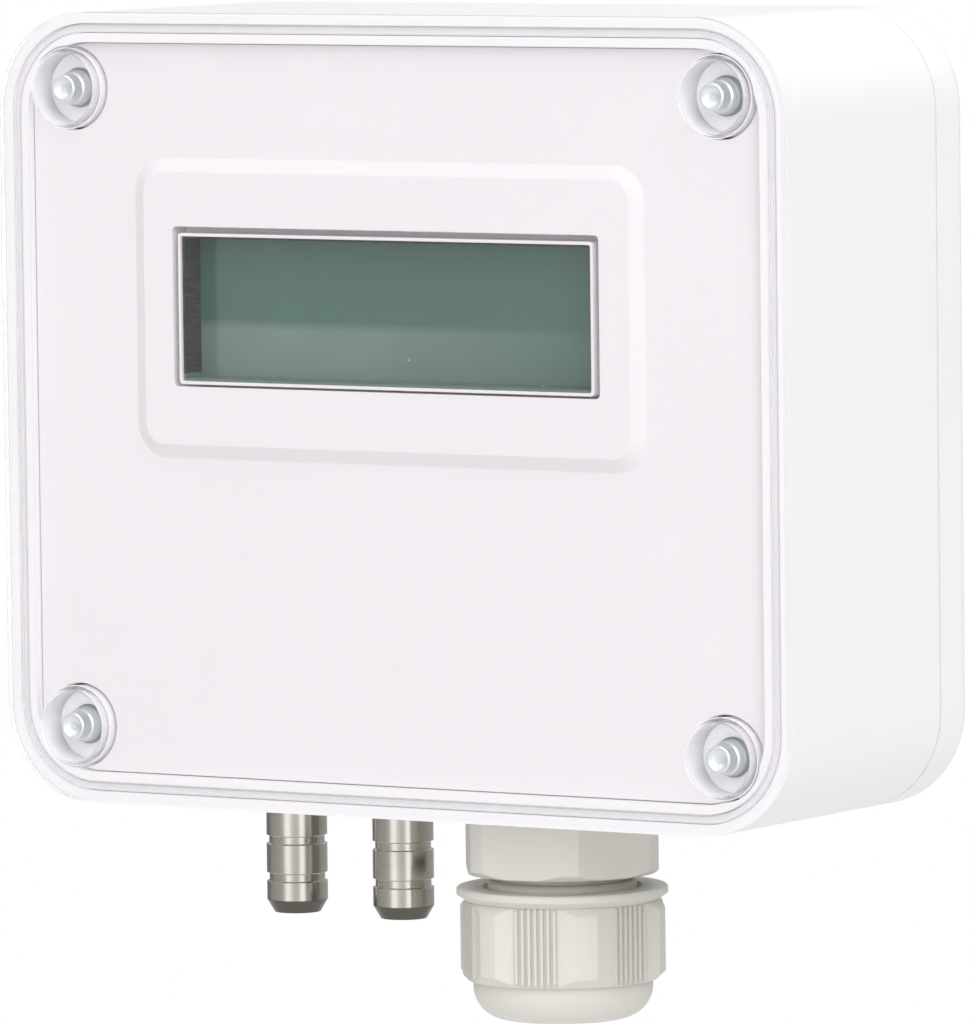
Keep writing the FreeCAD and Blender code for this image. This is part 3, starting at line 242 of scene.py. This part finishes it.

# Display glass and its tray: a reflective liquid crystal cell, grey-green, with a painted
# reflection that makes it lighter towards its lower left, and painted shadow under the window's
# upper edge. Fine dust lies on the glass.
lcd = Finish("liquid_crystal", IOR=1.45, Coat_Weight=0.2, Coat_Roughness=0.05)
low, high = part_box("lcd_panel")
where = lcd.place()
across = (where.part("X") - low.x) * (1 / (high.x - low.x))
up = (where.part("Z") - low.z) * (1 / (high.z - low.z))
REFLECTION_TOP = 0.42
PAINTED_SHADE_FROM = 0.80
EDGE_SHADOW_FROM = 0.955
# Painted reflection: a lighter patch over the lower left of the glass.
painted_reflection = across.below(0.75, 0.6) * up.below(REFLECTION_TOP, 0.05)
ground = lcd.mix(painted_reflection, (0.047, 0.130, 0.108), (0.160, 0.245, 0.198))
# Painted shadow: darker under the window's upper edge.
ground = lcd.mix(up.above(PAINTED_SHADE_FROM, 0.12), ground, (0.045, 0.148, 0.112))
# Painted shadow: a thin, still darker band right along the top.
ground = lcd.mix(up.above(EDGE_SHADOW_FROM, 0.03), ground, (0.020, 0.040, 0.036))
ground = lcd.mix(0.35 * lcd.noise(0.012, 2.0), ground, (0.050, 0.108, 0.080))
dust = lcd.cells(0.0042).below(0.028, 0.02) * lcd.noise(0.011).above(0.55, 0.05)
lcd.feed("Base Color", lcd.mix(dust, ground, (0.55, 0.60, 0.56)))
lcd.feed("Roughness", 0.10 + 0.08 * lcd.noise(0.006) + 0.4 * dust)
lcd.relief(lcd.noise(0.006, 1.0), 0.000002)
dress(lcd, "lcd_panel")
milky = moulded("milky_tray", (0.80, 0.80, 0.78), (0.76, 0.76, 0.74), 0.4, 0.0003)
dress(milky, "lcd_holder")

# Lid: one clear polycarbonate moulding with a faint lilac cast. Its plate is polished; the
# tongue that presses the gasket and the four screw cups are etched milky. Light from the lamps
# and from the white parts behind the lid passes straight through it.
clear = Finish("clear_polycarbonate", IOR=1.22, Transmission_Weight=1.0,
               Coat_Weight=0.6, Coat_IOR=1.5)
clear.feed("Base Color", clear.mix(clear.noise(0.02), (1.0, 0.985, 0.996), (0.995, 0.978, 0.990)))
clear.feed("Roughness", 0.004 + 0.012 * clear.noise(0.006))
clear.relief(clear.noise(0.009, 1.0), 0.000008)
output = clear.tree.nodes["Material Output"]
SCREW_X, SCREW_Z = 0.0477, 0.0404
CUP_REACH = 0.00515
CUP_START = 0.0003
LID_PLATE = 0.0015
ETCHED_SHARE = 0.86
lid_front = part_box("lid")[0].y
spot = clear.place()
aside = clear.math("ABSOLUTE", spot.part("X")) - SCREW_X
higher = clear.math("ABSOLUTE", spot.part("Z")) - SCREW_Z
off_axis = clear.math("SQRT", aside * aside + higher * higher)
depth = spot.part("Y")
cup = off_axis.below(CUP_REACH, 0.0001) * depth.above(lid_front + CUP_START, 0.0004)
behind = clear.math("MAXIMUM", cup, depth.above(lid_front + LID_PLATE + 0.0001, 0.0001))
haze = clear.mix(clear.noise(0.0015), (0.925, 0.915, 0.94), (0.965, 0.955, 0.975))
etched = clear.node("ShaderNodeBsdfPrincipled", {}, {"Base Color": haze, "Roughness": 0.35})
polished = Wire(clear, clear.shader.outputs[0])
shown = clear.node("ShaderNodeMixShader", {}, {0: ETCHED_SHARE * behind, 1: polished, 2: etched})
let_through = clear.node("ShaderNodeBsdfTransparent", {}, {0: (0.93, 0.925, 0.93, 1.0)})
for kind in ("Is Diffuse Ray", "Is Shadow Ray"):
    ray = clear.node("ShaderNodeLightPath", {}, {}, kind)
    shown = clear.node("ShaderNodeMixShader", {}, {0: ray, 1: shown, 2: let_through})
clear.tree.links.new(shown.socket, output.inputs["Surface"])
dress(clear, "lid")

# Lid screws and their retainers: zinc-plated steel, turned with a stepped round head and a
# dished end, and kept in the lid by a nylon washer. Painted shade darkens the plating round the
# head's root, where it sits deep in its cup.
bright = Finish("bright_zinc", Metallic=1.0)
HEAD_ROOT = 0.0030
screw_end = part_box("lid_screw_tl")[0].y
# Painted shade: the plating turns darker towards the head's root, deep in the cup.
shaded_root = bright.place().part("Y").above(screw_end + HEAD_ROOT, 0.0010)
plated = bright.mix(bright.noise(0.0009, 3.0), (0.74, 0.77, 0.79), (0.86, 0.89, 0.90))
bright.feed("Base Color", bright.mix(shaded_root, plated, (0.40, 0.45, 0.43)))
bright.feed("Roughness", 0.30 + 0.15 * bright.noise(0.0007, 3.0))
bright.relief(bright.noise(0.00012, 2.0, (1.0, 0.3, 1.0)), 0.000004, 0.00008)
dress(bright, *["lid_screw_" + corner for corner in CORNERS])
nylon = moulded("natural_nylon", (0.80, 0.80, 0.77), (0.74, 0.74, 0.70), 0.4, 0.0003, 0.0001)
dress(nylon, *["screw_retainer_" + corner for corner in CORNERS])

# Hose ports: turned stainless steel with a hexagonal collar, two grooves that grip the hose and
# a chamfered tip that is coloured dark. The tool leaves fine rings round the axis.
steel = Finish("turned_stainless", Metallic=1.0)
rings = steel.noise(0.0006, 2.0, (0.05, 0.05, 2.0))
stain = steel.noise(0.004, 2.0)
TIP_LENGTH = 0.00165
port_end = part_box("port_high")[0].z
tip = steel.place().part("Z").below(port_end + TIP_LENGTH, 0.0001)
turned = steel.mix(stain, (0.49, 0.46, 0.42), (0.60, 0.57, 0.52))
steel.feed("Base Color", steel.mix(tip, turned, (0.125, 0.113, 0.103)))
steel.feed("Roughness", 0.11 + 0.08 * rings + 0.04 * stain)
steel.relief(rings, 0.000003, 0.00006)
dress(steel, "port_high", "port_low")

# Seals: black rubber rings under the ports and the gland's hexagon, and the sleeve that grips
# the cable inside the dome nut.
rubber = moulded("black_rubber", (0.018, 0.018, 0.018), (0.034, 0.033, 0.032), 0.55, 0.0002, 0.0001)
dress(rubber, "port_seal_high", "port_seal_low", "gland_washer", "gland_seal")

# Cable gland: light warm grey polyamide. The body is screwed into the housing wall against a
# locknut inside, and the dome nut with ribbed flats squeezes the rubber sleeve.
gland_grey = moulded("gland_polyamide", (0.680, 0.664, 0.610), (0.648, 0.632, 0.576),
                     0.34, 0.0003, 0.0003, IOR=1.53)
dress(gland_grey, "gland_body", "gland_locknut", "gland_nut")


# Floor: a pale round sheet well below the part, which is made to hang on a wall. It fades into
# the white surroundings towards its edge and keeps the part's shadow in the middle.
FLOOR_DROP = 0.35
FLOOR_RADIUS = 1.5
FADE_MIDDLE = 0.85
FADE_WIDTH = 0.6
sheet = bmesh.new()
bmesh.ops.create_circle(sheet, cap_ends=True, segments=96, radius=FLOOR_RADIUS,
                        matrix=Matrix.Translation((0, 0, -FLOOR_DROP)))
floor_mesh = bpy.data.meshes.new("floor")
sheet.to_mesh(floor_mesh)
sheet.free()
floor = bpy.data.objects.new("floor", floor_mesh)
bpy.context.scene.collection.objects.link(floor)
pale = Finish("pale_floor", Roughness=0.9)
pale.feed("Base Color", pale.mix(pale.noise(0.05, 3.0), (0.80, 0.80, 0.80), (0.78, 0.78, 0.785)))
floor_mesh.materials.append(pale.material)
reach = pale.node("ShaderNodeVectorMath", {"operation": "LENGTH"}, {0: pale.place()}, "Value")
seen = pale.node("ShaderNodeLightPath", {}, {}, "Is Camera Ray")
white = pale.node("ShaderNodeEmission", {}, {"Color": (1.0, 1.0, 1.0, 1.0), "Strength": 1.0})
faded = pale.node("ShaderNodeMixShader", {}, {
    0: seen * reach.above(FADE_MIDDLE, FADE_WIDTH), 1: Wire(pale, pale.shader.outputs[0]), 2: white})
pale.tree.links.new(faded.socket, pale.tree.nodes["Material Output"].inputs["Surface"])

# Surroundings: a white studio. Near the horizon grey flags stand between the light panels, so
# that polished metal shows upright light and dark bands. The camera sees plain white, also
# through the lid.
world = bpy.data.worlds.new("studio")
bpy.context.scene.world = world
world.use_nodes = True


class Surroundings(Finish):
    """The world's nodes, written as a finish is."""

    def __init__(self, made):
        self.tree = made.node_tree
        self.shader = self.tree.nodes["Background"]


CAMERA_AZIMUTH = 32.329
studio = Surroundings(world)
direction = studio.node("ShaderNodeTexCoord", {}, {}, "Generated")
bearing = studio.math("ARCTAN2", direction.part("X"), 0.0 - direction.part("Y"))
turn = (bearing - math.radians(CAMERA_AZIMUTH)) * (1 / (2 * math.pi)) + 0.5
turn = studio.math("FRACT", turn)
flags = ((0.00, 0.40), (0.12, 0.20), (0.20, 0.42), (0.31, 0.50), (0.352, 0.68), (0.385, 1.65),
         (0.42, 1.65), (0.445, 1.05), (0.49, 0.75), (0.52, 0.90), (0.54, 1.70), (0.57, 1.70),
         (0.60, 0.35), (0.63, 0.03), (0.71, 0.02), (0.75, 0.22), (0.79, 0.42), (0.92, 0.50))
stops = [(position, (strength,) * 3) for position, strength in flags]
banded = studio.node("ShaderNodeValToRGB", {"stops": stops}, {0: turn})
height = direction.part("Z")
FLAG_REACH = 0.45
AMBIENT = 0.84
flag_zone = height.above(-FLAG_REACH, 0.2) * height.below(FLAG_REACH, 0.3)
radiance = studio.mix(flag_zone, (AMBIENT,) * 3, banded)
in_view = studio.node("ShaderNodeLightPath", {}, {}, "Is Camera Ray") + studio.node(
    "ShaderNodeLightPath", {}, {}, "Is Transmission Ray")
studio.feed("Color", studio.mix(in_view, radiance, (1.0, 1.0, 1.0)))

# Lamps: a large soft panel from the upper right, one from the upper left and one overhead. Each
# points at the part, and the camera doesn't see the panels.
LAMPS = (
    ("key", (1.45, -1.1, 1.15), 1.6, 20.5),
    ("fill", (-1.4, -1.5, 0.9), 1.6, 5.0),
    ("overhead", (0.1, -0.3, 1.8), 1.4, 8.0),
)
for name, position, side, power in LAMPS:
    lamp = bpy.data.lights.new(name, "AREA")
    lamp.shape = "SQUARE"
    lamp.size = side
    lamp.energy = power
    carrier = bpy.data.objects.new(name, lamp)
    bpy.context.scene.collection.objects.link(carrier)
    carrier.location = position
    carrier.rotation_euler = (-Vector(position)).to_track_quat("-Z", "Y").to_euler()
    carrier.visible_camera = False

# Camera: a long lens a little above the part and well to its right. It is rolled slightly, and
# moved in its own plane, not shifted, until the part fills the frame.
CAMERA_ELEVATION = 4.53
CAMERA_ROLL = -0.674
CAMERA_DISTANCE = 1.33741
CAMERA_LEFT = 0.011475
CAMERA_DOWN = 0.014865
LENS_LENGTH = 368.53
SENSOR_WIDTH = 36.0
azimuth = math.radians(CAMERA_AZIMUTH)
elevation = math.radians(CAMERA_ELEVATION)
roll = math.radians(CAMERA_ROLL)
back = Vector((math.sin(azimuth) * math.cos(elevation),
               -math.cos(azimuth) * math.cos(elevation), math.sin(elevation)))
level = Vector((math.cos(azimuth), math.sin(azimuth), 0.0))
upright = back.cross(level)
right = level * math.cos(roll) + upright * math.sin(roll)
top = upright * math.cos(roll) - level * math.sin(roll)
lens = bpy.data.cameras.new("camera")
lens.sensor_width = SENSOR_WIDTH
lens.lens = LENS_LENGTH
lens.clip_start, lens.clip_end = 0.05, 20.0
camera = bpy.data.objects.new("camera", lens)
bpy.context.scene.collection.objects.link(camera)
stand = back * CAMERA_DISTANCE - right * CAMERA_LEFT - top * CAMERA_DOWN
camera.matrix_world = Matrix.Translation(stand) @ Matrix((right, top, back)).transposed().to_4x4()
bpy.context.scene.camera = camera
bpy.context.scene.view_settings.view_transform = "Standard"
